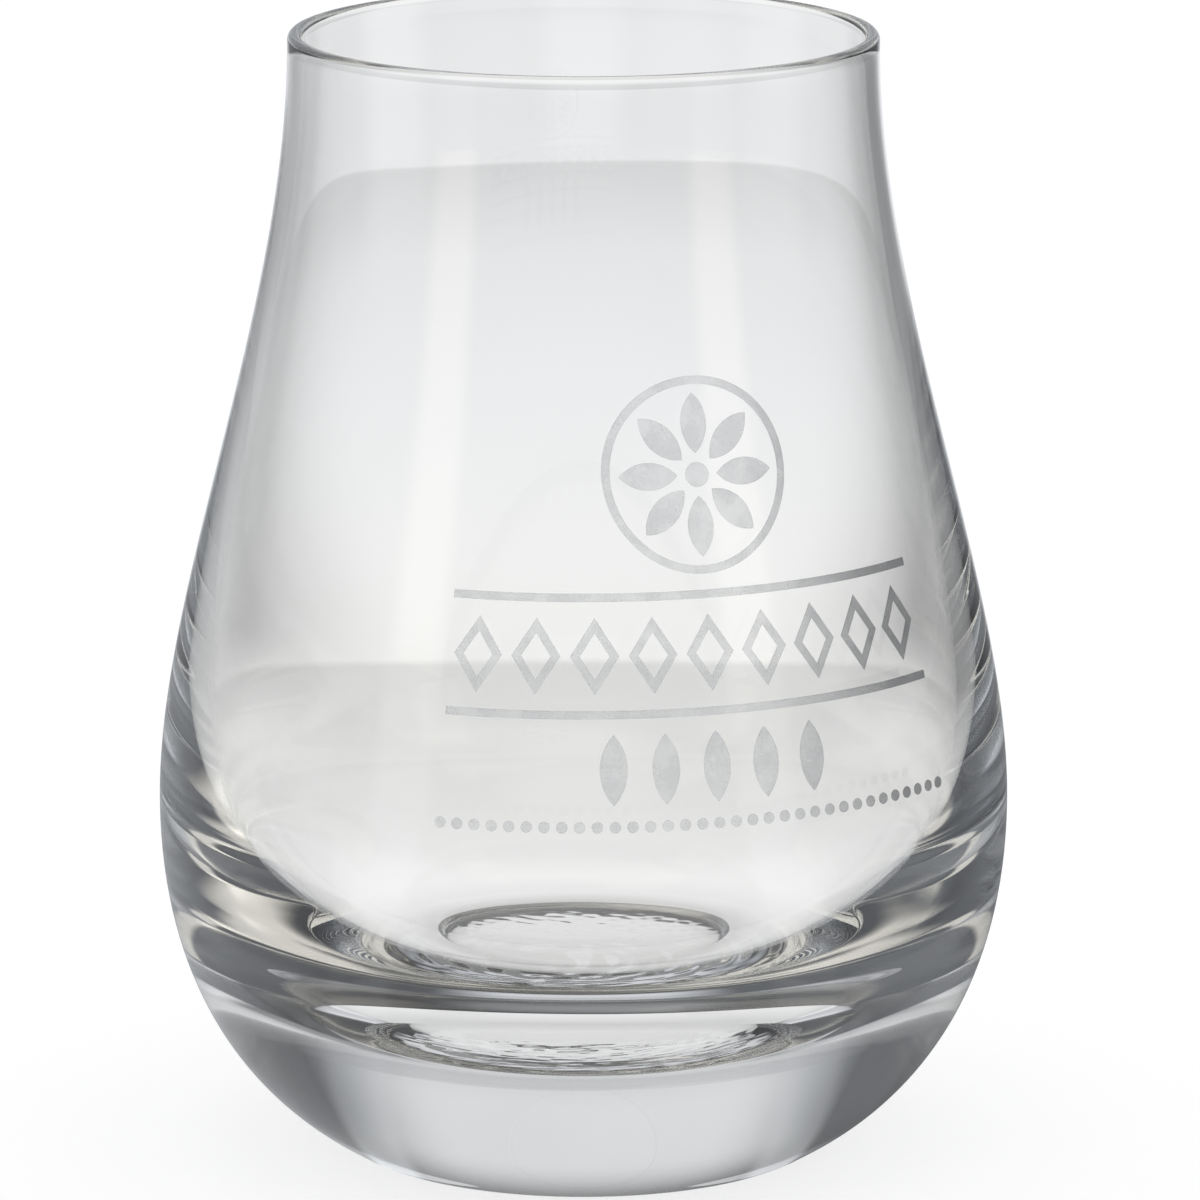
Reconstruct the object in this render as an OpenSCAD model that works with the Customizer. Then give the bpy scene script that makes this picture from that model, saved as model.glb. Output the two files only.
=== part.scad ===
// Whisky nosing glass: one piece of clear glass with a thick base, and a fired satin print on its wall.
// The glass stands on z = 0 with its axis on +Z, and its front faces -Y.

/* [Outer shape] */
// Height from the table to the top of the rim
height = 100; // [88:1:116]
// Outer diameter just under the rim
rim_d = 52; // [46:0.5:58]
// Widest diameter, at the belly
belly_d = 75.8; // [70:0.2:84]
// Height of the widest point
belly_h = 31; // [27:0.5:35]
// Outer diameter of the flat ring that the glass stands on
foot_d = 43.6; // [38:0.2:50]
// How far the curve leaves the foot outwards before it turns up
foot_lead_out = 1.5; // [0.5:0.1:3]
// How far the curve leaves the foot upwards before it turns up
foot_lead_up = 1.1; // [0.4:0.1:2.5]
// How far the belly stays full below its widest point
belly_full_below = 23.4; // [18:0.2:26]
// How far the belly stays full above its widest point
belly_full_above = 19.1; // [14:0.2:24]
// How far the neck stays upright under the rim
neck_upright = 23.7; // [16:0.2:30]

/* [Wall and bowl] */
// Wall thickness at the rim, which is melted round
rim_wall = 1.3; // [0.8:0.1:2.2]
// Wall thickness where the bowl begins to close
bowl_wall = 2.8; // [2:0.1:4.5]
// Height where the bowl begins to close
bowl_h = 45; // [38:0.5:52]
// How far the bowl's side stays upright below that height
bowl_side = 22; // [16:0.5:24]
// How far the bowl's floor stays level around the axis
bowl_floor = 27; // [18:0.5:31]
// Thickness of glass between the table and the lowest point of the bowl
base_t = 13; // [10:0.5:17]

/* [Recess under the base] */
// Diameter of the ground recess
recess_d = 33.6; // [24:0.2:36]
// Depth of the ground recess at its middle
recess_depth = 2.2; // [1:0.1:4]

/* [Print] */
// Thickness of the fired print
print_t = 0.1; // [0.06:0.01:0.2]
// Turn of the print's middle from the front, towards the right
print_turn = 18; // [-90:1:90]
// Angle of wall that the print spans
print_span = 74; // [60:1:100]
// Width of a printed line
line_w = 0.7; // [0.4:0.05:1]
// Clear height between two rows of the print
row_gap = 1.3; // [0.8:0.1:2]
// Height of the lowest row above the table
print_h = 37; // [34:0.5:40]

/* [Print rows] */
// Diameter of a dot in the lowest row
dot_d = 1; // [0.6:0.05:1.6]
// Number of dots in the lowest row
dot_count = 33; // [15:2:41]
// Height of a grain
grain_h = 6; // [4:0.2:8]
// Width of a grain
grain_w = 2.4; // [1.6:0.1:3]
// Angle between two grains
grain_step = 7; // [6:0.5:9]
// Number of grains
grain_count = 5; // [3:2:7]
// Height of a lozenge in the band
lozenge_h = 6.4; // [4:0.2:8]
// Width of a lozenge in the band
lozenge_w = 4.2; // [3:0.1:5]
// Number of lozenges in the band
lozenge_count = 9; // [5:2:9]
// Outer diameter of the rosette's ring
rosette_d = 16.4; // [12:0.2:18]
// Number of petals in the rosette
petal_count = 8; // [5:1:10]
// Width of a petal
petal_w = 2.3; // [1.4:0.1:2.6]

/* [Hidden] */
$fn = 96;

// Number of straight pieces that each part of the outline is drawn with
lower_steps = 16;
upper_steps = 26;
rim_steps = 8;
bowl_steps = 18;
recess_steps = 10;

// Named points of the outline, as [radius, height]
rim_centre_h = height - rim_wall / 2;
foot_point = [foot_d / 2, 0];
foot_lead = [foot_d / 2 + foot_lead_out, foot_lead_up];
belly_point = [belly_d / 2, belly_h];
rim_point = [rim_d / 2, rim_centre_h];
below_belly = [belly_d / 2, belly_h - belly_full_below];
above_belly = [belly_d / 2, belly_h + belly_full_above];
below_rim = [rim_d / 2, rim_centre_h - neck_upright];
floor_point = [0, base_t];
floor_lead = [bowl_floor, base_t];

// How quickly the wall gains thickness on its way down: 1 is a steady rate, and more keeps it thin for longer
wall_growth_share = 2.5;

// Point at share s of the curve that leaves a towards b and arrives at d from c
function curve(a, b, c, d, s) =
    pow(1 - s, 3) * a + 3 * pow(1 - s, 2) * s * b + 3 * (1 - s) * s * s * c + pow(s, 3) * d;

// The outer wall from the foot to the rim
lower_wall = [
    for (i = [0:lower_steps]) curve(foot_point, foot_lead, below_belly, belly_point, i / lower_steps)
];
upper_wall = [
    for (i = [1:upper_steps]) curve(belly_point, above_belly, below_rim, rim_point, i / upper_steps)
];
outer_wall = concat(lower_wall, upper_wall);
wall_table = [for (p = outer_wall) [p[1], p[0]]];

// Outer radius of the wall at height h
function wall_r(h) = lookup(h, wall_table);

// Wall thickness at height h, between the rim and the top of the bowl
function wall_t(h) =
    rim_wall
    + (bowl_wall - rim_wall) * pow((rim_centre_h - h) / (rim_centre_h - bowl_h), wall_growth_share);

// The melted rim, a half circle from the outer wall to the inner one
rim_round = [
    for (i = [1:rim_steps - 1])
        [
            rim_d / 2 - rim_wall / 2 + rim_wall / 2 * cos(180 * i / rim_steps),
            rim_centre_h + rim_wall / 2 * sin(180 * i / rim_steps)
        ]
];

// The inner wall from the rim to the top of the bowl follows the outer wall at the wall's thickness
inner_wall = [
    for (i = [0:upper_steps])
        let (h = rim_centre_h + (bowl_h - rim_centre_h) * i / upper_steps)
            [wall_r(h) - wall_t(h), h]
];

// The bowl leaves the inner wall in the wall's own direction, and arrives level at the axis
bowl_start = inner_wall[upper_steps];
wall_run = bowl_start - inner_wall[upper_steps - 1];
bowl_lead = bowl_start + wall_run / norm(wall_run) * bowl_side;
bowl_curve = [
    for (i = [1:bowl_steps]) curve(bowl_start, bowl_lead, floor_lead, floor_point, i / bowl_steps)
];

// The recess is a shallow cap of a large sphere, from its middle to its edge
recess_sphere_r = (pow(recess_d / 2, 2) + pow(recess_depth, 2)) / (2 * recess_depth);
recess_angle = asin(recess_d / 2 / recess_sphere_r);
recess_curve = [
    for (i = [0:recess_steps])
        let (a = recess_angle * i / recess_steps)
            [recess_sphere_r * sin(a), recess_depth - recess_sphere_r * (1 - cos(a))]
];

module glass_body() {
    color([0.86, 0.89, 0.9, 0.45])
        rotate_extrude()
            polygon(concat(recess_curve, outer_wall, rim_round, inner_wall, bowl_curve));
}

// Rows of the print, from the lowest up
dot_row_h = print_h + dot_d / 2;
grain_row_h = dot_row_h + dot_d / 2 + row_gap + grain_h / 2;
low_rule_h = grain_row_h + grain_h / 2 + row_gap;
band_h = low_rule_h + line_w + row_gap + lozenge_h / 2;
high_rule_h = band_h + lozenge_h / 2 + row_gap;
rosette_h = high_rule_h + line_w + row_gap + rosette_d / 2;

// Direction of the print's middle, and the reach of the cutting shapes past the wall's surface
print_axis = print_turn - 90;
cut_depth = 3 * bowl_wall;

// Angle on the wall, at height h, of a run of length w
function wall_angle(w, h) = w / wall_r(h) * 180 / PI;

// Outline of the print's skin between two heights: the wall's own surface and the same points moved out
module skin_outline(low, high) {
    inside = concat(
        [[wall_r(low), low]],
        [for (p = outer_wall) if (p[1] > low && p[1] < high) p],
        [[wall_r(high), high]]
    );
    count = len(inside);
    outside = [for (i = [1:count]) inside[count - i] + [print_t, 0]];
    polygon(concat(inside, outside));
}

// A patch of skin around the direction turn, as wide as the angle span
module skin(low, high, turn, span) {
    rotate([0, 0, print_axis + turn - span / 2])
        rotate_extrude(angle = span)
            skin_outline(low, high);
}

// Prints a flat motif, drawn around its own middle, on the wall at height h and in the direction turn
module motif_on_wall(h, turn, motif_w, motif_h) {
    intersection() {
        skin(h - motif_h / 2 - line_w, h + motif_h / 2 + line_w, turn, wall_angle(motif_w + 2 * line_w, h));
        rotate([0, 0, print_axis + turn])
            translate([wall_r(h) - cut_depth, 0, h])
                rotate([90, 0, 90])
                    linear_extrude(2 * cut_depth)
                        children();
    }
}

// A grain or petal: the overlap of two equal circles, pointed at its top and bottom
module leaf(w, h) {
    r = (pow(h / 2, 2) + pow(w / 2, 2)) / w;
    intersection() {
        translate([r - w / 2, 0]) circle(r);
        translate([w / 2 - r, 0]) circle(r);
    }
}

module lozenge(w, h) {
    polygon([[w / 2, 0], [0, h / 2], [-w / 2, 0], [0, -h / 2]]);
}

module rosette() {
    ring_r = rosette_d / 2 - line_w;
    hub_r = 1.5 * line_w;
    petal_h = ring_r - hub_r - 2 * line_w;
    difference() {
        circle(rosette_d / 2);
        circle(ring_r);
    }
    circle(hub_r);
    for (i = [0:petal_count - 1])
        rotate(360 * i / petal_count)
            translate([0, hub_r + line_w + petal_h / 2])
                leaf(petal_w, petal_h);
}

module rosette_print() {
    color([0.66, 0.67, 0.67])
        motif_on_wall(rosette_h, 0, rosette_d, rosette_d)
            rosette();
}

module lozenge_band_print() {
    step = print_span / lozenge_count;
    // The line's width is measured square to the lozenge's sides
    line_share = 2 * line_w * norm([lozenge_w, lozenge_h]) / (lozenge_w * lozenge_h);
    color([0.66, 0.67, 0.67])
        for (i = [0:lozenge_count - 1])
            motif_on_wall(band_h, (i - (lozenge_count - 1) / 2) * step, lozenge_w, lozenge_h) {
                difference() {
                    lozenge(lozenge_w, lozenge_h);
                    lozenge(lozenge_w * (1 - line_share), lozenge_h * (1 - line_share));
                }
            }
}

module band_rules_print() {
    color([0.66, 0.67, 0.67])
        for (h = [low_rule_h, high_rule_h])
            skin(h, h + line_w, 0, print_span);
}

module grain_row_print() {
    color([0.66, 0.67, 0.67])
        for (i = [0:grain_count - 1])
            motif_on_wall(grain_row_h, (i - (grain_count - 1) / 2) * grain_step, grain_w, grain_h)
                leaf(grain_w, grain_h);
}

module dot_line_print() {
    step = print_span / (dot_count - 1);
    color([0.66, 0.67, 0.67])
        for (i = [0:dot_count - 1])
            motif_on_wall(dot_row_h, (i - (dot_count - 1) / 2) * step, dot_d, dot_d)
                circle(dot_d / 2);
}

glass_body();
rosette_print();
lozenge_band_print();
band_rules_print();
grain_row_print();
dot_line_print();
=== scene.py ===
# %% [markdown]
# # A whisky nosing glass, dressed for the camera
#
# The real object is one piece of clear pressed glass, with a thin grey enamel print fired on to its wall.
# The measured model gives its sizes and its place. Here the same outline is turned again with far more
# points, because light that bends through a thick base shows every facet of a coarse one.

import bpy
import numpy as np
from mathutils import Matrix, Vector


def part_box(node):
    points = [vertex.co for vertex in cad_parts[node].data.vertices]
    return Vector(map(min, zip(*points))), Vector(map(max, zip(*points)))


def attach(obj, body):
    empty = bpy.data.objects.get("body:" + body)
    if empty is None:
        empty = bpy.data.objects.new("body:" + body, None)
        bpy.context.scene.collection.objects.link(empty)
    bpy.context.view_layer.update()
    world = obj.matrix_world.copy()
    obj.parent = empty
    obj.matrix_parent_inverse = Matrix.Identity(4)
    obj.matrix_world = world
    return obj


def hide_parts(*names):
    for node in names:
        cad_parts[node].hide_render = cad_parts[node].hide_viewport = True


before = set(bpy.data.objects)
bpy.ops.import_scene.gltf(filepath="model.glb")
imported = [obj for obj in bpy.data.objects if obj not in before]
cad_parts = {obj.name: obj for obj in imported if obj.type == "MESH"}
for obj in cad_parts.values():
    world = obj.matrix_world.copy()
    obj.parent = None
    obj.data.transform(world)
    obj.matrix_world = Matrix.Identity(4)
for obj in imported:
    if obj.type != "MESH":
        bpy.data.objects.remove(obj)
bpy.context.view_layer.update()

# %% [markdown]
# ## Sizes
#
# Blender works in metres, and a glass is easier to think of in millimetres, so each size is written in
# millimetres times MM. The height and the belly's radius come from the measured model itself. The rest are
# the sizes that its outline was drawn with, so that the new surface lies exactly where the old one does.
# Only the recess under the base differs, by about half a millimetre: its roof is flatter here and its edge
# is rounder.

# %% Sizes of the glass
MM = 0.001
highest_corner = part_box("glass_body")[1]
HEIGHT = highest_corner.z
BELLY_RADIUS = highest_corner.x
BELLY_HEIGHT = 31 * MM
RIM_RADIUS = 26 * MM
RIM_WALL = 1.3 * MM
FOOT_RADIUS = 21.8 * MM
FOOT_LEAD = np.array([1.5, 1.1]) * MM
BELLY_FULL_BELOW = 23.4 * MM
BELLY_FULL_ABOVE = 19.1 * MM
NECK_UPRIGHT = 23.7 * MM
BOWL_WALL = 2.8 * MM
BOWL_HEIGHT = 45 * MM
BOWL_SIDE = 22 * MM
BOWL_FLOOR = 27 * MM
BASE_THICKNESS = 13 * MM
RECESS_RADIUS = 16.8 * MM
RECESS_DEPTH = 1.8 * MM
RECESS_POWER = 6
RECESS_EDGE = 0.15 * MM
WALL_GROWTH = 2.5
print(f"The glass is {HEIGHT / MM:.1f} mm high and {2 * BELLY_RADIUS / MM:.1f} mm wide")

# %% [markdown]
# ## The camera
#
# The photograph looks down on the glass by a few degrees, through a long lens, so the near and the far rim
# are almost the same size. A long lens also keeps the sides upright. The small shift puts the glass where
# it stands in the picture, without turning the camera away from it.

# %% Camera
CAMERA_DISTANCE = 0.7
CAMERA_ABOVE_RIM = np.radians(8.8)
LENS = 241.8
LOOK_HEIGHT = HEIGHT / 2
PICTURE_PIXELS = 1200
PICTURE_MIDDLE = 0.5
LOOK_PIXEL = (583.5, 586.7)


def make_camera():
    """A camera on the -Y side that looks level with the axis, and down at the middle of the glass."""
    camera_height = HEIGHT + CAMERA_DISTANCE * np.tan(CAMERA_ABOVE_RIM)
    look_down = np.arctan2(camera_height - LOOK_HEIGHT, CAMERA_DISTANCE)
    camera = bpy.data.objects.new("camera", bpy.data.cameras.new("camera"))
    bpy.context.scene.collection.objects.link(camera)
    camera.location = (0, -CAMERA_DISTANCE, camera_height)
    camera.rotation_euler = (np.pi / 2 - look_down, 0, 0)
    camera.data.lens = LENS
    camera.data.shift_x = PICTURE_MIDDLE - LOOK_PIXEL[0] / PICTURE_PIXELS
    camera.data.shift_y = LOOK_PIXEL[1] / PICTURE_PIXELS - PICTURE_MIDDLE
    bpy.context.scene.camera = camera
    print(f"The camera looks down by {np.degrees(look_down):.1f} degrees from {camera_height / MM:.0f} mm up")


make_camera()

# %% [markdown]
# ## The outline
#
# A pressed glass is a body of revolution, so all its shape is in one outline: radius against height. The
# outer wall is two smooth curves that meet at the belly. Each is a cubic Bezier curve, which is fixed by
# its two ends and by how far it keeps its direction after each end.

# %% Outline of the outer wall
def bezier(start, start_handle, end_handle, end, count):
    """Cubic Bezier curve: (1-s)^3 start + 3(1-s)^2 s handle + 3(1-s)s^2 handle + s^3 end, for shares s."""
    s = np.linspace(0, 1, count)[:, None]
    corners = [np.asarray(p, float) for p in (start, start_handle, end_handle, end)]
    weights = [(1 - s) ** 3, 3 * (1 - s) ** 2 * s, 3 * (1 - s) * s**2, s**3]
    return sum(w * p for w, p in zip(weights, corners))


LOWER_POINTS, UPPER_POINTS = 46, 60
RIM_CENTRE_HEIGHT = HEIGHT - RIM_WALL / 2
foot_edge = np.array([FOOT_RADIUS, 0])
belly = np.array([BELLY_RADIUS, BELLY_HEIGHT])
rim_edge = np.array([RIM_RADIUS, RIM_CENTRE_HEIGHT])
below_belly, above_belly = belly - [0, BELLY_FULL_BELOW], belly + [0, BELLY_FULL_ABOVE]
lower_wall = bezier(foot_edge, foot_edge + FOOT_LEAD, below_belly, belly, LOWER_POINTS)
upper_wall = bezier(belly, above_belly, rim_edge - [0, NECK_UPRIGHT], rim_edge, UPPER_POINTS)
outer_wall = np.vstack([lower_wall, upper_wall[1:]])


def wall_radius(height):
    """Radius of the outer wall at a height, read off the outline."""
    return np.interp(height, outer_wall[:, 1], outer_wall[:, 0])


print("The outer wall has", len(outer_wall), "points")

# %% [markdown]
# ## The inside
#
# The wall is thinnest at the mouth, which is melted into a round lip, and grows slowly towards the bowl.
# Below that the bowl closes in one long curve over a thick base, which gives the glass its weight. Under
# the base is a shallow recess, so that the glass stands on a narrow flat ring. The recess has a nearly flat
# roof that falls off quickly at its edge, which is why it shows through the bowl's floor as one thin dark
# line.

# %% Outline of the lip, the bowl and the recess
LIP_POINTS, WALL_POINTS, BOWL_POINTS, RECESS_POINTS = 21, 50, 64, 110


def make_outline():
    """The closed outline from the recess's middle, out over the wall and the lip, to the bowl's middle."""
    lip_angle = np.linspace(0, np.pi, LIP_POINTS)[1:-1]
    lip_radius = RIM_WALL / 2
    lip_centre = np.array([RIM_RADIUS - lip_radius, RIM_CENTRE_HEIGHT])
    lip = lip_centre + lip_radius * np.stack([np.cos(lip_angle), np.sin(lip_angle)], 1)

    height = np.linspace(RIM_CENTRE_HEIGHT, BOWL_HEIGHT, WALL_POINTS)
    share = (RIM_CENTRE_HEIGHT - height) / (RIM_CENTRE_HEIGHT - BOWL_HEIGHT)
    thickness = RIM_WALL + (BOWL_WALL - RIM_WALL) * share**WALL_GROWTH
    inner_wall = np.stack([wall_radius(height) - thickness, height], 1)

    run = inner_wall[-1] - inner_wall[-2]
    bowl_lead = inner_wall[-1] + run / np.linalg.norm(run) * BOWL_SIDE
    bowl_side = (BOWL_FLOOR, BASE_THICKNESS)
    bowl = bezier(inner_wall[-1], bowl_lead, bowl_side, (0, BASE_THICKNESS), BOWL_POINTS)

    # The recess's height is depth * (1 - share of the radius ^ power). Its last point starts the flat ring.
    reach = np.linspace(0, 1, RECESS_POINTS)
    recess = np.stack([RECESS_RADIUS * reach, RECESS_DEPTH * (1 - reach**RECESS_POWER)], 1)
    recess = np.vstack([recess, (RECESS_RADIUS + RECESS_EDGE, 0)])
    return {"recess": recess, "wall": outer_wall, "lip": lip, "inside": np.vstack([inner_wall, bowl[1:]])}


outline = make_outline()
print("Points of the outline:", {name: len(part) for name, part in outline.items()})

# %% [markdown]
# ## From arrays to a mesh
#
# Every piece here is a grid of points, worked out as one array with rows along the piece and columns around
# it. Neighbouring points become four-sided faces. A grid that shrinks to a point at its first or last row
# is closed there with a fan of triangles round a single point, and a grid with no such points is joined to
# itself.

# %% Helpers that turn grids of points into meshes
def grid_faces(rows, columns, row_wrap):
    """Corner numbers of the faces between neighbouring rows and columns. The columns close on themselves."""
    r = np.arange(rows if row_wrap else rows - 1)[:, None]
    c = np.arange(columns)[None, :]
    next_r, next_c = (r + 1) % rows, (c + 1) % columns
    corners = (r * columns + c, r * columns + next_c, next_r * columns + next_c, next_r * columns + c)
    return np.stack(np.broadcast_arrays(*corners), -1).reshape(-1, 4)


def closed_surface(points, poles=None):
    """Points and faces of a closed grid. With poles, a fan closes its first and its last row."""
    rows, columns = points.shape[:2]
    flat = points.reshape(-1, 3)
    faces = grid_faces(rows, columns, row_wrap=poles is None).tolist()
    if poles is not None:
        around = np.arange(columns)
        after = (around + 1) % columns
        first, last = len(flat), len(flat) + 1
        last_row = (rows - 1) * columns
        faces += np.stack([np.full(columns, first), after, around], 1).tolist()
        faces += np.stack([np.full(columns, last), last_row + around, last_row + after], 1).tolist()
        flat = np.vstack([flat, poles])
    return flat, faces


def enclosed_volume(points, faces):
    """Volume inside a closed surface: the sum over its triangles of the corners' triple product, over six."""
    triangles = np.array([(f[0], f[i], f[i + 1]) for f in faces for i in range(1, len(f) - 1)])
    a, b, c = (points[triangles[:, i]] for i in range(3))
    return (np.cross(a, b) * c).sum() / 6


def make_piece(name, surfaces, replaced):
    """One smooth object made of closed surfaces, with faces turned outwards, in place of a measured node."""
    all_points, all_faces, volume, count = [], [], 0, 0
    for points, faces in surfaces:
        inside = enclosed_volume(points, faces)
        if inside < 0:
            faces = [face[::-1] for face in faces]
        all_points.append(points)
        all_faces += [[corner + count for corner in face] for face in faces]
        volume += abs(inside)
        count += len(points)
    mesh = bpy.data.meshes.new(name)
    mesh.from_pydata(np.vstack(all_points).tolist(), [], all_faces)
    mesh.shade_smooth()
    piece = bpy.data.objects.new(name, mesh)
    bpy.context.scene.collection.objects.link(piece)
    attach(piece, "root")
    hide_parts(replaced)
    print(f"{name}: {count} points, {len(all_faces)} faces, {volume / MM**3:.1f} cubic millimetres")
    return piece


# %% [markdown]
# ## The glass
#
# Turning the outline round the axis gives a perfect glass, and a perfect glass looks like a drawing. A
# pressed one has a bowl that is out of true by a few hundredths of a millimetre, which makes the lines seen
# through it wander, and the roof of its recess is mottled where the mould was cut. Both come from waves
# that run through space in several directions, so they join up all the way round and at the axis.

# %% Waves that put the glass slightly out of true
WAVE_SPREAD = (0.7, 1.4)


def waves(points, wavelength, count, seed):
    """Sum of sines along random directions, sin(2 pi direction.point / length + phase), scaled to about 1."""
    random = np.random.default_rng(seed)
    direction = random.normal(size=(count, 3))
    direction /= np.linalg.norm(direction, axis=1)[:, None]
    length = wavelength * random.uniform(*WAVE_SPREAD, count)
    phase = random.uniform(0, 2 * np.pi, count)
    return np.sin(points @ (2 * np.pi * direction / length[:, None]).T + phase).sum(-1) / np.sqrt(count)


AROUND = 288
BOWL_WAVE, BOWL_WAVES = 34 * MM, 9
BOWL_WAVE_DEPTH = 0.03 * MM
BOWL_FADE = 20 * MM
MOTTLE_WAVE, MOTTLE_WAVES = 1.6 * MM, 24
MOTTLE_DEPTH = 0.03 * MM
MOTTLE_FADE = 6 * MM


def make_glass():
    """The outline turned round the axis: (r cos a, r sin a, z), moved along its own normal by the waves."""
    profile = np.vstack(list(outline.values()))
    part_of = np.repeat(list(outline), [len(part) for part in outline.values()])
    along = np.gradient(profile, axis=0)
    normal = np.stack([along[:, 1], -along[:, 0]], 1) / np.linalg.norm(along, axis=1)[:, None]
    angle = np.linspace(0, 2 * np.pi, AROUND, endpoint=False)
    turn = np.stack([np.cos(angle), np.sin(angle)], 1)

    def turned(line):
        flat = line[:, None, :1] * turn[None]
        return np.concatenate([flat, np.broadcast_to(line[:, None, 1:], (*flat.shape[:2], 1))], -1)

    points, outwards = turned(profile), turned(normal)
    below_rim, in_from_edge = HEIGHT - profile[:, 1], RECESS_RADIUS - profile[:, 0]
    inside_fade = np.where(part_of == "inside", np.clip(below_rim / BOWL_FADE, 0, 1), 0)
    recess_fade = np.where(part_of == "recess", np.clip(in_from_edge / MOTTLE_FADE, 0, 1), 0)
    shift = BOWL_WAVE_DEPTH * inside_fade[:, None] * waves(points, BOWL_WAVE, BOWL_WAVES, seed=3)
    shift += MOTTLE_DEPTH * recess_fade[:, None] * waves(points, MOTTLE_WAVE, MOTTLE_WAVES, seed=5)
    points = points + outwards * shift[..., None]
    poles = np.array([points[0].mean(0), points[-1].mean(0)])
    return make_piece("glass", [closed_surface(points[1:-1], poles)], "glass_body")


glass = make_glass()

# %% [markdown]
# ## The print
#
# Enamel is pressed through a screen on to the wall and fired, so it lies on the glass as flat patches a
# tenth of a millimetre thick, with soft edges. Each patch is drawn flat first, then bent on to the wall: a
# height stays a height, and a distance across becomes an angle. The pattern is a plain one: a rosette over
# a band of lozenges between two rules, a short row of grains, and a line of dots.

# %% Sizes of the print
PRINT_THICKNESS = 0.1 * MM
PRINT_LIFT = 0.01 * MM
PRINT_AXIS = np.radians(18 - 90)
PRINT_SPAN = np.radians(74)
LINE = 0.7 * MM
ROW_GAP = 1.3 * MM
PRINT_HEIGHT = 37 * MM
DOT, DOT_COUNT = 1 * MM, 33
GRAIN = np.array([2.4, 6]) * MM
GRAIN_STEP, GRAIN_COUNT = np.radians(7), 5
LOZENGE = np.array([4.2, 6.4]) * MM
LOZENGE_COUNT = 9
ROSETTE = 16.4 * MM
PETAL_COUNT, PETAL_WIDTH = 8, 2.3 * MM

DOT_ROW = PRINT_HEIGHT + DOT / 2
GRAIN_ROW = DOT_ROW + DOT / 2 + ROW_GAP + GRAIN[1] / 2
LOW_RULE = GRAIN_ROW + GRAIN[1] / 2 + ROW_GAP
BAND_ROW = LOW_RULE + LINE + ROW_GAP + LOZENGE[1] / 2
HIGH_RULE = BAND_ROW + LOZENGE[1] / 2 + ROW_GAP
ROSETTE_ROW = HIGH_RULE + LINE + ROW_GAP + ROSETTE / 2
PRINT_TOP = ROSETTE_ROW + ROSETTE / 2
print(f"The print runs from {PRINT_HEIGHT / MM:.1f} to {PRINT_TOP / MM:.1f} mm above the table")

# %% [markdown]
# A patch is its outline times a share that runs from 0 at its middle to 1 at its edge. The run over the
# top, down the rounded edge and back underneath is one list of shares and lifts, so a filled patch is a
# grid too: rows along that run, columns round the outline. A patch with a hole in it has a run of its own,
# from its outer outline to its inner one, and never reaches the middle.

# %% Bending flat shapes on to the wall
def on_wall(across, up, lift, row, turn):
    """Point at a distance across and up from a motif's middle: wall radius r, angle arcsin(across / r)."""
    height = row + up
    radius = wall_radius(height) + PRINT_LIFT + lift * PRINT_THICKNESS
    angle = PRINT_AXIS + turn + np.arcsin(across / radius)
    return np.stack([radius * np.cos(angle), radius * np.sin(angle), height], -1)


FILLED_RUN = np.array([(0.35, 1), (0.7, 1), (0.9, 0.97), (0.97, 0.8), (1, 0.45), (1, 0), (0.7, 0), (0.35, 0)])


def filled(shape, row, turn=0, centre=(0, 0)):
    """A solid patch: centre + share * shape for each share of the run, with a middle point on each side."""
    share, lift = FILLED_RUN[:, :1], FILLED_RUN[:, 1:]
    across, up = centre[0] + share * shape[:, 0], centre[1] + share * shape[:, 1]
    middles = on_wall(np.full(2, centre[0]), np.full(2, centre[1]), np.array([1, 0]), row, turn)
    return closed_surface(on_wall(across, up, lift, row, turn), middles)


HOLLOW_RUN = np.array([(0, 0), (0, 0.5), (0.12, 0.9), (0.35, 1), (0.65, 1), (0.88, 0.9), (1, 0.5), (1, 0)])


def hollow(outside, inside, row, turn=0):
    """A line that closes on itself: (1 - mix) * outside + mix * inside for each mix and lift of the run."""
    mix, lift = HOLLOW_RUN[:, :1], HOLLOW_RUN[:, 1:]
    across = (1 - mix) * outside[:, 0] + mix * inside[:, 0]
    up = (1 - mix) * outside[:, 1] + mix * inside[:, 1]
    return closed_surface(on_wall(across, up, lift, row, turn))


# %% [markdown]
# The outlines are short formulas. A leaf is the overlap of two equal circles, so it has a point at each
# end.

# %% Outlines of the motifs
def disc(diameter, count=32):
    """Circle: (cos a, sin a) times the radius."""
    angle = np.linspace(0, 2 * np.pi, count, endpoint=False)
    return diameter / 2 * np.stack([np.cos(angle), np.sin(angle)], 1)


def leaf(width, height, turn=0.0, count=20):
    """Overlap of two circles of radius ((h/2)^2 + (w/2)^2) / w, and turned about its own middle."""
    radius = ((height / 2) ** 2 + (width / 2) ** 2) / width
    reach = np.arcsin(height / 2 / radius)
    angle = np.linspace(-reach, reach, count, endpoint=False)
    side = np.stack([radius * np.cos(angle) - radius + width / 2, radius * np.sin(angle)], 1)
    shape = np.vstack([side, -side])
    cos, sin = np.cos(turn), np.sin(turn)
    return shape @ np.array([[cos, sin], [-sin, cos]])


def lozenge(width, height, count=12):
    """Four straight sides between the points at half the width and half the height."""
    corners = np.array([[width, 0], [0, height], [-width, 0], [0, -height]]) / 2
    share = np.linspace(0, 1, count, endpoint=False)[:, None]
    return np.vstack([(1 - share) * corners[i] + share * corners[(i + 1) % 4] for i in range(4)])


# %% [markdown]
# The pieces of the print follow, each as one object: the rosette, the lozenges, the rules, the grains and
# the dots.

# %% The rosette
RING_POINTS = 96


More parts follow.
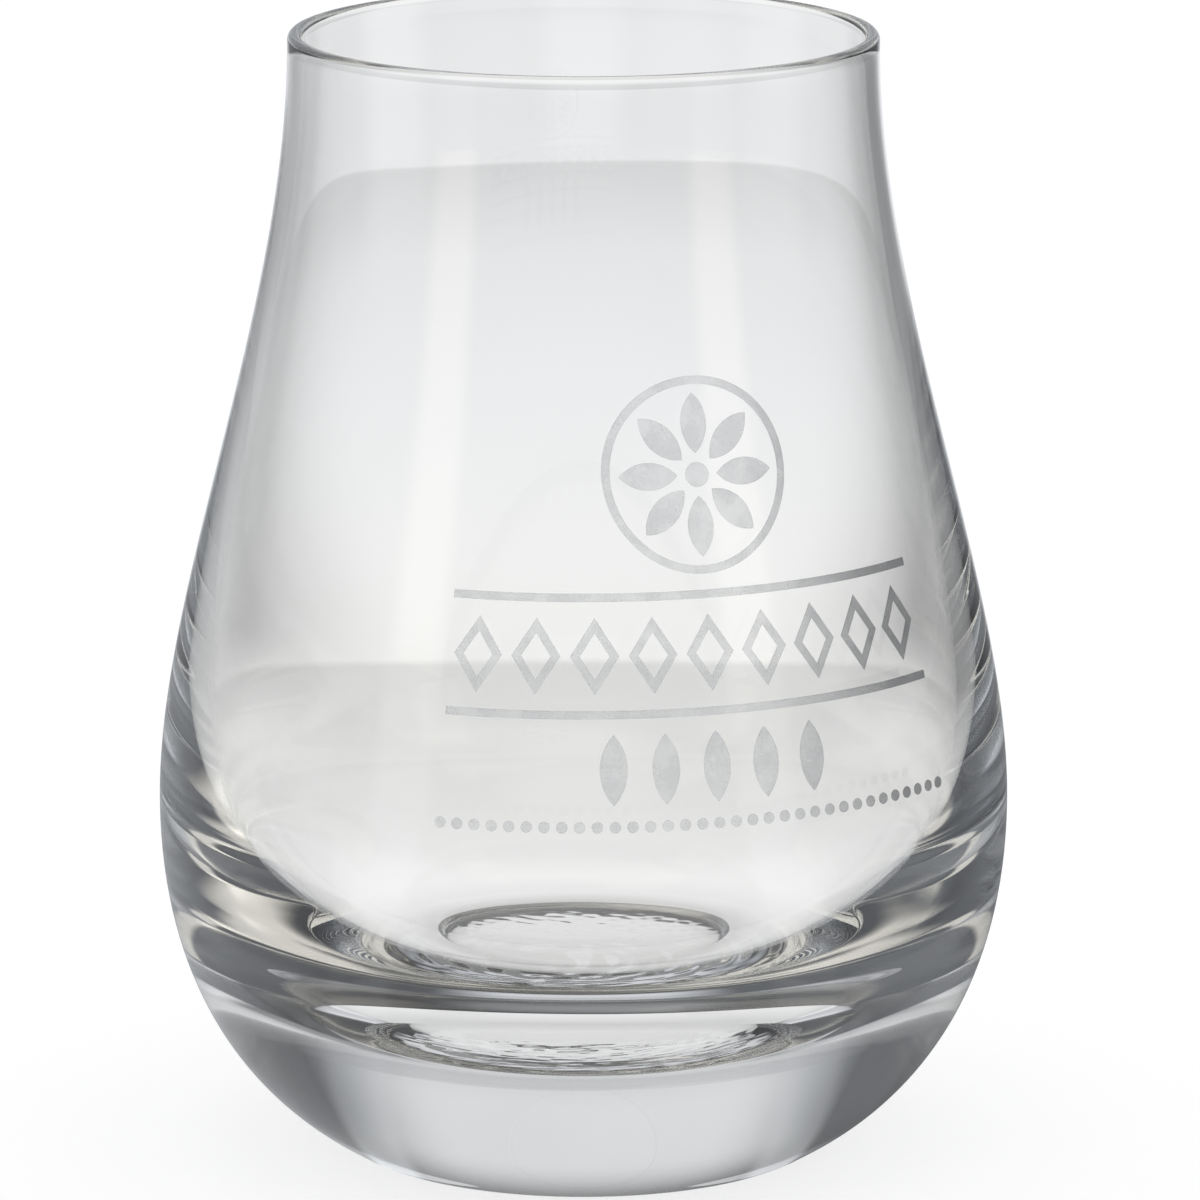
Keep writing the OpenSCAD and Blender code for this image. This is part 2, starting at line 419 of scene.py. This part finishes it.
def make_rosette():
    """A ring, a hub, and petals that stand round the hub."""
    ring_inside = ROSETTE / 2 - LINE
    hub = 1.5 * LINE
    petal = ring_inside - hub - 2 * LINE
    petal_centre = hub + LINE + petal / 2
    ring = hollow(disc(ROSETTE, RING_POINTS), disc(2 * ring_inside, RING_POINTS), ROSETTE_ROW)
    parts = [ring, filled(disc(2 * hub), ROSETTE_ROW)]
    for angle in 2 * np.pi * np.arange(PETAL_COUNT) / PETAL_COUNT:
        centre = (-petal_centre * np.sin(angle), petal_centre * np.cos(angle))
        parts.append(filled(leaf(PETAL_WIDTH, petal, angle), ROSETTE_ROW, centre=centre))
    return make_piece("rosette", parts, "rosette_print")


rosette = make_rosette()

# %% The band of lozenges and its two rules
def make_lozenges():
    """Open lozenges at equal steps. A side is width * height / (2 * diagonal) from the lozenge's middle."""
    line_share = 2 * LINE * np.hypot(*LOZENGE) / (LOZENGE[0] * LOZENGE[1])
    outside, inside = lozenge(*LOZENGE), lozenge(*(LOZENGE * (1 - line_share)))
    turns = (np.arange(LOZENGE_COUNT) - (LOZENGE_COUNT - 1) / 2) * PRINT_SPAN / LOZENGE_COUNT
    parts = [hollow(outside, inside, BAND_ROW, turn) for turn in turns]
    return make_piece("lozenges", parts, "lozenge_band_print")


RULE_SECTION = np.array([(0, 0), (0, 0.5), (0.1, 0.9), (0.3, 1), (0.7, 1), (0.9, 0.9), (1, 0.5), (1, 0)])
RULE_POINTS = 110


def rule(bottom):
    """A line round the wall: rows along the arc, columns round a flat section with a rounded top."""
    angle = PRINT_AXIS + np.linspace(-PRINT_SPAN / 2, PRINT_SPAN / 2, RULE_POINTS)[:, None]
    height = bottom + RULE_SECTION[:, 0] * LINE
    radius = wall_radius(height) + PRINT_LIFT + RULE_SECTION[:, 1] * PRINT_THICKNESS
    points = np.stack(np.broadcast_arrays(radius * np.cos(angle), radius * np.sin(angle), height), -1)
    return closed_surface(points, points[[0, -1]].mean(1))


lozenges = make_lozenges()
rules = make_piece("rules", [rule(LOW_RULE), rule(HIGH_RULE)], "band_rules_print")

# %% The grains and the dots
DOT_POINTS = 24


def in_row(shape, row, step, count):
    """The same filled shape at equal turns about the middle of the print."""
    return [filled(shape, row, (i - (count - 1) / 2) * step) for i in range(count)]


grain_parts = in_row(leaf(*GRAIN), GRAIN_ROW, GRAIN_STEP, GRAIN_COUNT)
grains = make_piece("grains", grain_parts, "grain_row_print")
dot_parts = in_row(disc(DOT, DOT_POINTS), DOT_ROW, PRINT_SPAN / (DOT_COUNT - 1), DOT_COUNT)
dots = make_piece("dots", dot_parts, "dot_line_print")

# %% [markdown]
# ## Materials
#
# Materials are small networks of nodes, so a few helpers keep them short: one adds a node, one also joins
# it up, one does a sum, one turns a number from one range into another with soft ends, and one blends two
# colours or numbers.

# %% Helpers for node networks
def add_node(tree, kind, **settings):
    """Adds a node and sets its properties."""
    node = tree.nodes.new(kind)
    for name, value in settings.items():
        setattr(node, name, value)
    return node


def feed(tree, socket, value):
    """Joins an output to a socket, or types a plain value into it."""
    if isinstance(value, bpy.types.NodeSocket):
        tree.links.new(value, socket)
    else:
        socket.default_value = value


def result_of(tree, kind, *values, **settings):
    """Adds a node, feeds its sockets in their order, and gives its first output."""
    node = add_node(tree, kind, **settings)
    for socket, value in zip(node.inputs, values):
        feed(tree, socket, value)
    return node.outputs[0]


def work_out(tree, operation, *values):
    """A Math node: the operation's result for these values."""
    return result_of(tree, "ShaderNodeMath", *values, operation=operation)


def soft_step(tree, value, start, end, low=0.0, high=1.0):
    """Goes from low to high while the value goes from start to end, and levels off at both."""
    node = add_node(tree, "ShaderNodeMapRange", interpolation_type="SMOOTHSTEP")
    settings = {"Value": value, "From Min": start, "From Max": end, "To Min": low, "To Max": high}
    for name, number in settings.items():
        feed(tree, node.inputs[name], number)
    return node.outputs["Result"]


# A Mix node has sockets for every kind of data. These are the places of its share, its two values and its
# result.
MIX_SOCKETS = {"FLOAT": ((0, 2, 3), 0), "RGBA": ((0, 6, 7), 2)}


def blend(tree, share, first, second, kind="RGBA"):
    """Goes from the first colour or number to the second with the share."""
    node = add_node(tree, "ShaderNodeMix", data_type=kind)
    places, result = MIX_SOCKETS[kind]
    for place, value in zip(places, (share, first, second)):
        feed(tree, node.inputs[place], value)
    return node.outputs[result]


def azimuth_of(tree, vector):
    """Angle round the axis, 0 at the back and a half turn at the front, and the node with the parts."""
    parts = add_node(tree, "ShaderNodeSeparateXYZ")
    tree.links.new(vector, parts.inputs[0])
    return work_out(tree, "ARCTAN2", parts.outputs["X"], parts.outputs["Y"]), parts


def new_material(name):
    """An empty material with its output node."""
    material = bpy.data.materials.new(name)
    material.use_nodes = True
    tree = material.node_tree
    tree.nodes.clear()
    return material, tree, add_node(tree, "ShaderNodeOutputMaterial")


# %% [markdown]
# Clear glass lets nearly all light through and bends it. Its colour is in its depth and not on its surface,
# so the tint is a volume that takes a little light away for each millimetre, and the thick base looks
# greyer than the thin mouth. Shadow rays go straight through with a small loss, because the lamps would
# otherwise leave a black shadow under a clear object.

# %% Clear glass
GLASS_IOR = 1.52
GLASS_TINT = (0.897, 0.905, 0.917, 1)
GLASS_TINT_DENSITY = 24
GLASS_SHADOW = (0.93, 0.935, 0.94, 1)


def make_clear_glass():
    """A smooth refracting surface over an absorbing volume, with light shadows."""
    material, tree, output = new_material("clear_glass")
    surface = add_node(tree, "ShaderNodeBsdfPrincipled")
    surface.inputs["Base Color"].default_value = (1, 1, 1, 1)
    surface.inputs["Roughness"].default_value = 0
    surface.inputs["IOR"].default_value = GLASS_IOR
    surface.inputs["Transmission Weight"].default_value = 1
    through = add_node(tree, "ShaderNodeBsdfTransparent")
    through.inputs["Color"].default_value = GLASS_SHADOW
    shadow = add_node(tree, "ShaderNodeLightPath").outputs["Is Shadow Ray"]
    either = result_of(tree, "ShaderNodeMixShader", shadow, surface.outputs[0], through.outputs[0])
    tree.links.new(either, output.inputs["Surface"])
    volume = add_node(tree, "ShaderNodeVolumeAbsorption")
    volume.inputs["Color"].default_value = GLASS_TINT
    volume.inputs["Density"].default_value = GLASS_TINT_DENSITY
    tree.links.new(volume.outputs[0], output.inputs["Volume"])
    return material


glass.data.materials.append(make_clear_glass())

# %% [markdown]
# Fired enamel is ground glass with a grey pigment. It scatters light like frosted glass and lets some
# through, unevenly, because the screen leaves it thinner in places. A fine noise makes its surface grainy,
# and a coarse one varies how much it covers. Towards its right end it has painted shade: it darkens and
# covers more.

# %% Satin print
PRINT_DARK = (0.54, 0.55, 0.56, 1)
PRINT_LIGHT = (0.68, 0.69, 0.70, 1)
# Colour, extra cover and angles of the painted shade at the print's right end.
PRINT_PAINTED_SHADE = (0.20, 0.205, 0.21, 1)
PRINT_COVER = (0.26, 0.42)
PRINT_COVER_IN_SHADE = 0.3
PRINT_SHADE_ANGLES = np.radians([128.0, 160.0])
GRAIN_PER_METRE, GRAIN_DETAIL = 5200, 2.0
PATCH_PER_METRE, PATCH_DETAIL = 420, 3.0
NOISE_RANGE = (0.3, 0.7)
PRINT_ROUGHNESS = (0.42, 0.62)
BUMP_STRENGTH, BUMP_HEIGHT = 0.35, 0.02 * MM


def make_satin_print():
    """Grey enamel: patchy in tone and cover, grainy in gloss and height, with painted shade towards its right
    end.
    """
    material, tree, output = new_material("satin_print")
    place = add_node(tree, "ShaderNodeTexCoord").outputs["Object"]
    patches, grain = add_node(tree, "ShaderNodeTexNoise"), add_node(tree, "ShaderNodeTexNoise")
    for noise, scale, detail in (
        (patches, PATCH_PER_METRE, PATCH_DETAIL),
        (grain, GRAIN_PER_METRE, GRAIN_DETAIL),
    ):
        tree.links.new(place, noise.inputs["Vector"])
        noise.inputs["Scale"].default_value = scale
        noise.inputs["Detail"].default_value = detail
    surface = add_node(tree, "ShaderNodeBsdfPrincipled")
    tone = blend(tree, grain.outputs["Fac"], PRINT_DARK, PRINT_LIGHT)
    # Painted shade: the print's colour darkens and its cover grows towards its right end.
    azimuth = azimuth_of(tree, place)[0]
    painted_shade = soft_step(tree, work_out(tree, "ABSOLUTE", azimuth), *PRINT_SHADE_ANGLES, 1.0, 0.0)
    tree.links.new(blend(tree, painted_shade, tone, PRINT_PAINTED_SHADE), surface.inputs["Base Color"])
    cover = soft_step(tree, patches.outputs["Fac"], *NOISE_RANGE, *PRINT_COVER)
    feed(tree, surface.inputs["Alpha"], work_out(tree, "MULTIPLY_ADD", painted_shade, PRINT_COVER_IN_SHADE, cover))
    roughness = soft_step(tree, grain.outputs["Fac"], *NOISE_RANGE, *PRINT_ROUGHNESS)
    feed(tree, surface.inputs["Roughness"], roughness)
    bump = add_node(tree, "ShaderNodeBump")
    bump.inputs["Strength"].default_value = BUMP_STRENGTH
    bump.inputs["Distance"].default_value = BUMP_HEIGHT
    tree.links.new(grain.outputs["Fac"], bump.inputs["Height"])
    tree.links.new(bump.outputs[0], surface.inputs["Normal"])
    tree.links.new(surface.outputs[0], output.inputs["Surface"])
    return material


satin_print = make_satin_print()
for piece in (rosette, lozenges, rules, grains, dots):
    piece.data.materials.append(satin_print)

# %% [markdown]
# ## The studio
#
# A clear glass shows nothing but what stands round it, so the studio is most of its look. The camera sees a
# white floor and a white room. The glass sees a pale floor with greyer bands of painted shade, tall screens
# all round with darker gaps between them, and two slim lamps on the camera's side. The gaps draw the dark
# lines along the edges of the glass, and on the floor they are painted shade. The screens stand at equal
# turns, so the glass looks much the same from every side: a strong one faces each quarter of a turn, and a
# weaker one stands between each two. The studio's left side is a little brighter than its right one, as it
# is in the photograph. The lamps are warmer than the sheets, and what the screens leave in shade is cooler,
# so the low sides of the glass get warm streaks and its base a cool tone.

# %% Where a ray meets the studio
QUARTER = np.radians(90)
LAMP_START, LAMP_END, LAMP_SOFT = np.radians([122.0, 138.0, 3.0])
LAMP_STRENGTH = 0.76


def screens(tree, azimuth, gap, strong, weak):
    """
    Tone of the ring of screens. A screen is its tone, half its width and the width of its soft edge.

    The angle is folded back and forth, so that it runs from the middle of a strong one to that of a weak one.
    """
    off_strong = work_out(tree, "PINGPONG", azimuth, QUARTER / 2)
    tone, half, edge = strong
    on_strong = soft_step(tree, off_strong, half, half + edge, tone - gap, 0.0)
    tone, half, edge = weak
    on_weak = soft_step(tree, off_strong, QUARTER / 2 - half - edge, QUARTER / 2 - half, gap, tone)
    return work_out(tree, "ADD", on_strong, on_weak)


def far_side(tree, azimuth, start, end, facing, elsewhere=0.0):
    """One tone straight behind the glass, and another past the given angle on both sides of that."""
    return soft_step(tree, work_out(tree, "ABSOLUTE", azimuth), start, end, facing, elsewhere)


def left_to_right(tree, azimuth, left, right):
    """Goes from left to right with the sine of the angle: middle + change * sin(azimuth)."""
    middle, change = (left + right) / 2, (right - left) / 2
    return work_out(tree, "MULTIPLY_ADD", work_out(tree, "SINE", azimuth), change, middle)


def lamp_pair(tree, azimuth, strength):
    """The lamps' strength inside their band of angles, on both sides of the camera, and 0 outside it."""
    angle = work_out(tree, "ABSOLUTE", azimuth)
    rise = soft_step(tree, angle, LAMP_START - LAMP_SOFT, LAMP_START + LAMP_SOFT)
    fall = soft_step(tree, angle, LAMP_END - LAMP_SOFT, LAMP_END + LAMP_SOFT, strength, 0.0)
    return work_out(tree, "MULTIPLY", rise, fall)


def by_ray(tree, path, to_others, mirrored, through):
    """Picks a tone by what the ray did last: went through the glass, was mirrored in it, or neither."""
    not_through = blend(tree, path.outputs["Is Glossy Ray"], to_others, mirrored, "FLOAT")
    return blend(tree, path.outputs["Is Transmission Ray"], not_through, through, "FLOAT")


# %% [markdown]
# ## The floor
#
# Through the glass the floor glows in soft rings of painted light and shade: a pale middle, a darker line at
# the recess's edge that is a painted shadow under the foot, a greyer ring that ends 126 mm away, a paler one
# that ends half a metre away, and a tone that darkens into the distance. The nearer ring is a little warmer
# than the rest. To the camera the floor is plain white, and takes a faint shadow where the foot stands on it.

# %% The floor
FLOOR_SIZE, FLOOR_CORNERS = 3.0, 128
FLOOR_GLOW, FLOOR_GREY = 0.65, (0.45, 0.45, 0.45, 1)
FLOOR_DROP = 0.2 * MM
FLOOR_REACH = 900
# Pairs of a distance from the axis in millimetres and the floor's painted tone there, with a painted shadow
# at the foot's inner edge.
FLOOR_PAINTED_TONES = (
    (0, 0.82), (15, 0.82), (16.3, 0.66), (17.3, 0.68), (19, 0.86), (27, 1.0), (56, 0.84), (105, 0.80),
    (125, 0.78), (126.5, 0.97), (200, 0.96), (285, 0.92), (400, 0.86), (440, 0.80), (499, 0.72),
    (501, 0.88), (650, 0.86), (900, 0.45),
)
NEAR_TINT, FAR_TINT = (0.989, 0.992, 0.974, 1), (0.985, 0.992, 1.0, 1)
TINT_TURNS = (120 * MM, 300 * MM)
SHADE_COLOUR = (0.933, 0.962, 1.0, 1)
SHADE_FADES_IN = (80 * MM, 170 * MM)
SHADE_LEFT, SHADE_RIGHT = -0.45, -0.78
WEAK_SHADE_LEFT, WEAK_SHADE_RIGHT = 0.62, 0.92
SHADE_EDGES = np.radians([8.0, 16.0])
# Tones of the floor in the glass's reflections: painted light at the back, painted shade at the sides, and
# painted lamp light in the lamps' band.
MIRRORED_BEHIND, MIRRORED_LEFT, MIRRORED_RIGHT = 0.9, 0.52, 0.15
MIRRORED_EDGES = np.radians([12.0, 28.0])
MIRRORED_PAINTED_LAMP_LIGHT = 0.7


def make_floor():
    """A disc just under the glass."""
    angle = np.linspace(0, 2 * np.pi, FLOOR_CORNERS, endpoint=False)
    ring = np.stack([np.cos(angle), np.sin(angle), np.zeros_like(angle)], 1) * FLOOR_SIZE
    ring[:, 2] = -FLOOR_DROP
    mesh = bpy.data.meshes.new("floor")
    mesh.from_pydata(ring.tolist(), [], [list(range(len(ring)))])
    floor = bpy.data.objects.new("floor", mesh)
    bpy.context.scene.collection.objects.link(floor)
    return floor


def painted_floor_rings(tree, distance):
    """Painted light and shade of the floor by distance from the axis."""
    ramp = add_node(tree, "ShaderNodeValToRGB")
    stops = ramp.color_ramp.elements
    while len(stops) < len(FLOOR_PAINTED_TONES):
        stops.new(0.5)
    for stop, (reach, tone) in zip(stops, FLOOR_PAINTED_TONES):
        stop.position = reach / FLOOR_REACH
        stop.color = (tone, tone, tone, 1)
    feed(tree, ramp.inputs[0], work_out(tree, "DIVIDE", distance, FLOOR_REACH * MM))
    return ramp.outputs[0]


def make_floor_material():
    """White to the camera, and a glow of painted light and shade to the glass."""
    material, tree, output = new_material("floor")
    place = add_node(tree, "ShaderNodeTexCoord").outputs["Object"]
    azimuth, parts = azimuth_of(tree, place)
    squares = [work_out(tree, "MULTIPLY", parts.outputs[axis], parts.outputs[axis]) for axis in "XY"]
    distance = work_out(tree, "SQRT", work_out(tree, "ADD", *squares))
    # Painted shade: the floor darkens in the gaps between the screens, more on the right, fading in from 80
    # to 170 mm out.
    weak_shade = left_to_right(tree, azimuth, WEAK_SHADE_LEFT, WEAK_SHADE_RIGHT)
    painted_gap_shade = screens(tree, azimuth, 1.0, (0.0, *SHADE_EDGES), (weak_shade, *SHADE_EDGES))
    painted_gap_shade = work_out(tree, "MULTIPLY", painted_gap_shade, left_to_right(tree, azimuth, SHADE_LEFT, SHADE_RIGHT))
    painted_gap_shade = work_out(tree, "MULTIPLY_ADD", painted_gap_shade, soft_step(tree, distance, *SHADE_FADES_IN), 1.0)
    # Painted light and shade seen through the glass: the floor's rings times the painted shade of the gaps.
    through = work_out(tree, "MULTIPLY", painted_floor_rings(tree, distance), painted_gap_shade)
    # Painted light and shade for rays mirrored in the glass: bright at the back, darker at the sides, and
    # painted lamp light in the lamps' band.
    behind = far_side(tree, azimuth, *MIRRORED_EDGES, MIRRORED_BEHIND)
    sides = left_to_right(tree, azimuth, MIRRORED_LEFT, MIRRORED_RIGHT)
    lamp_band_glow = lamp_pair(tree, azimuth, MIRRORED_PAINTED_LAMP_LIGHT * LAMP_STRENGTH)
    mirrored = work_out(tree, "ADD", work_out(tree, "MAXIMUM", behind, sides), lamp_band_glow)

    path = add_node(tree, "ShaderNodeLightPath")
    tint = blend(tree, soft_step(tree, distance, *TINT_TURNS), NEAR_TINT, FAR_TINT)
    tint = blend(tree, path.outputs["Is Transmission Ray"], SHADE_COLOUR, tint)
    glow = add_node(tree, "ShaderNodeEmission")
    tree.links.new(tint, glow.inputs["Color"])
    feed(tree, glow.inputs["Strength"], by_ray(tree, path, 0.0, mirrored, through))
    white = add_node(tree, "ShaderNodeEmission")
    white.inputs["Strength"].default_value = FLOOR_GLOW
    matt = add_node(tree, "ShaderNodeBsdfDiffuse")
    matt.inputs["Color"].default_value = FLOOR_GREY
    plain = result_of(tree, "ShaderNodeAddShader", white.outputs[0], matt.outputs[0])
    to_glass = work_out(tree, "MAXIMUM", path.outputs["Is Transmission Ray"], path.outputs["Is Glossy Ray"])
    either = result_of(tree, "ShaderNodeMixShader", to_glass, plain, glow.outputs[0])
    tree.links.new(either, output.inputs["Surface"])
    return material


floor = make_floor()
floor.data.materials.append(make_floor_material())

# %% [markdown]
# ## The room
#
# The room is the world's own light. Matt surfaces get an even pale light from it and the camera sees white.
# The glass sees the screens up to a height of about 40 degrees, the slim lamps up to 30, a wide lamp over
# them on the camera's side, dim gaps and a dark ceiling. That wide lamp is tilted, and hangs lower on the
# right. The sheet straight behind the glass is greyer at its foot. A screen's tone is what it adds to the
# dim room.

# %% The room
ROOM_COLOUR = (0.988, 0.991, 1.0, 1)
LAMP_COLOUR = (1.0, 0.94, 0.81, 1)
DIM_LEFT, DIM_RIGHT = 0.11, 0.03
BEHIND_LOW, BEHIND_HIGH, BEHIND_RISES = 0.62, 0.78, np.radians([10.0, 19.0])
BEHIND_EDGES = np.radians([15.0, 42.0])
STRONG_SCREEN = (0.09, *np.radians([11.0, 34.0]))
WEAK_SCREEN = (0.07, *np.radians([6.0, 8.0]))
SCREEN_TOPS = np.radians([29.0, 46.0])
CEILING, CEILING_STARTS = 0.08, np.radians([50.0, 62.0])
LAMP_BOTTOMS, LAMP_TOPS = np.radians([-33.0, -27.0]), np.radians([24.0, 36.0])
HIGH_LAMP, HIGH_LAMP_SIDES = 0.9, np.radians([110.0, 126.0])
HIGH_LAMP_BOTTOM, HIGH_LAMP_TOP = np.radians([25.0, 35.0]), np.radians([59.0, 68.0])
HIGH_LAMP_TILT = np.radians(10.0)
MIRRORED_ROOM, MIRRORED_SCREEN = 0.40, 0.30
MIRRORED_SCREEN_EDGES = np.radians([20.0, 40.0])
TO_MATT, TO_CAMERA = 0.85, 1.0


def make_room():
    """White to the camera, plain to matt surfaces, and screens, lamps and gaps to the glass."""
    world = bpy.data.worlds.new("room")
    bpy.context.scene.world = world
    world.use_nodes = True
    tree = world.node_tree
    tree.nodes.clear()
    direction = add_node(tree, "ShaderNodeTexCoord").outputs["Generated"]
    azimuth, parts = azimuth_of(tree, direction)
    elevation = work_out(tree, "ARCSINE", parts.outputs["Z"])
    low = soft_step(tree, elevation, *SCREEN_TOPS, 1.0, 0.0)
    ceiling = soft_step(tree, elevation, *CEILING_STARTS, 0.0, CEILING)
    lamp_band_glow = lamp_pair(tree, azimuth, LAMP_STRENGTH)
    lamp_band_glow = work_out(tree, "MULTIPLY", lamp_band_glow, soft_step(tree, elevation, *LAMP_BOTTOMS))
    above = work_out(tree, "MULTIPLY_ADD", lamp_band_glow, soft_step(tree, elevation, *LAMP_TOPS, 1.0, 0.0), ceiling)
    wide = far_side(tree, azimuth, *HIGH_LAMP_SIDES, 0.0, HIGH_LAMP)
    tilt = left_to_right(tree, azimuth, -HIGH_LAMP_TILT, HIGH_LAMP_TILT)
    tilted = work_out(tree, "ADD", elevation, tilt)
    wide = work_out(tree, "MULTIPLY", wide, soft_step(tree, tilted, *HIGH_LAMP_BOTTOM))
    wide = work_out(tree, "MULTIPLY", wide, soft_step(tree, tilted, *HIGH_LAMP_TOP, 1.0, 0.0))

    dim = left_to_right(tree, azimuth, DIM_LEFT, DIM_RIGHT)
    ring = screens(tree, azimuth, 0.0, STRONG_SCREEN, WEAK_SCREEN)
    behind = soft_step(tree, elevation, *BEHIND_RISES, BEHIND_LOW, BEHIND_HIGH)
    lit = work_out(tree, "MAXIMUM", ring, far_side(tree, azimuth, *BEHIND_EDGES, behind))
    through = work_out(tree, "MULTIPLY_ADD", lit, low, dim)
    mirrored_screen = far_side(tree, azimuth, *MIRRORED_SCREEN_EDGES, MIRRORED_SCREEN)
    mirrored = work_out(tree, "MULTIPLY_ADD", mirrored_screen, low, MIRRORED_ROOM)

    path = add_node(tree, "ShaderNodeLightPath")
    plain = soft_step(tree, path.outputs["Is Camera Ray"], 0.0, 1.0, TO_MATT, TO_CAMERA)
    shaded = by_ray(tree, path, 0.0, 1.0, far_side(tree, azimuth, *BEHIND_EDGES, 0.0, 1.0))
    sheet_light, lamp_light = (add_node(tree, "ShaderNodeBackground") for _ in range(2))
    tree.links.new(blend(tree, shaded, ROOM_COLOUR, SHADE_COLOUR), sheet_light.inputs["Color"])
    feed(tree, sheet_light.inputs["Strength"], by_ray(tree, path, plain, mirrored, through))
    lamp_light.inputs["Color"].default_value = LAMP_COLOUR
    all_lamps = work_out(tree, "ADD", wide, above)
    feed(tree, lamp_light.inputs["Strength"], by_ray(tree, path, 0.0, above, all_lamps))
    both = result_of(tree, "ShaderNodeAddShader", sheet_light.outputs[0], lamp_light.outputs[0])
    tree.links.new(both, add_node(tree, "ShaderNodeOutputWorld").inputs["Surface"])


make_room()
bpy.context.scene.view_settings.view_transform = "Standard"

# %% [markdown]
# Light that enters the thick base at a slant is thrown to and fro inside it before it finds a way out. Cut
# short, such a path ends in black, so light may turn more often here than it does by default.

# %% How often light may turn inside the glass
LIGHT_TURNS = 48
path_limits = bpy.context.scene.cycles
path_limits.max_bounces = LIGHT_TURNS
path_limits.glossy_bounces = LIGHT_TURNS
path_limits.transmission_bounces = LIGHT_TURNS
print("Light may turn", LIGHT_TURNS, "times")
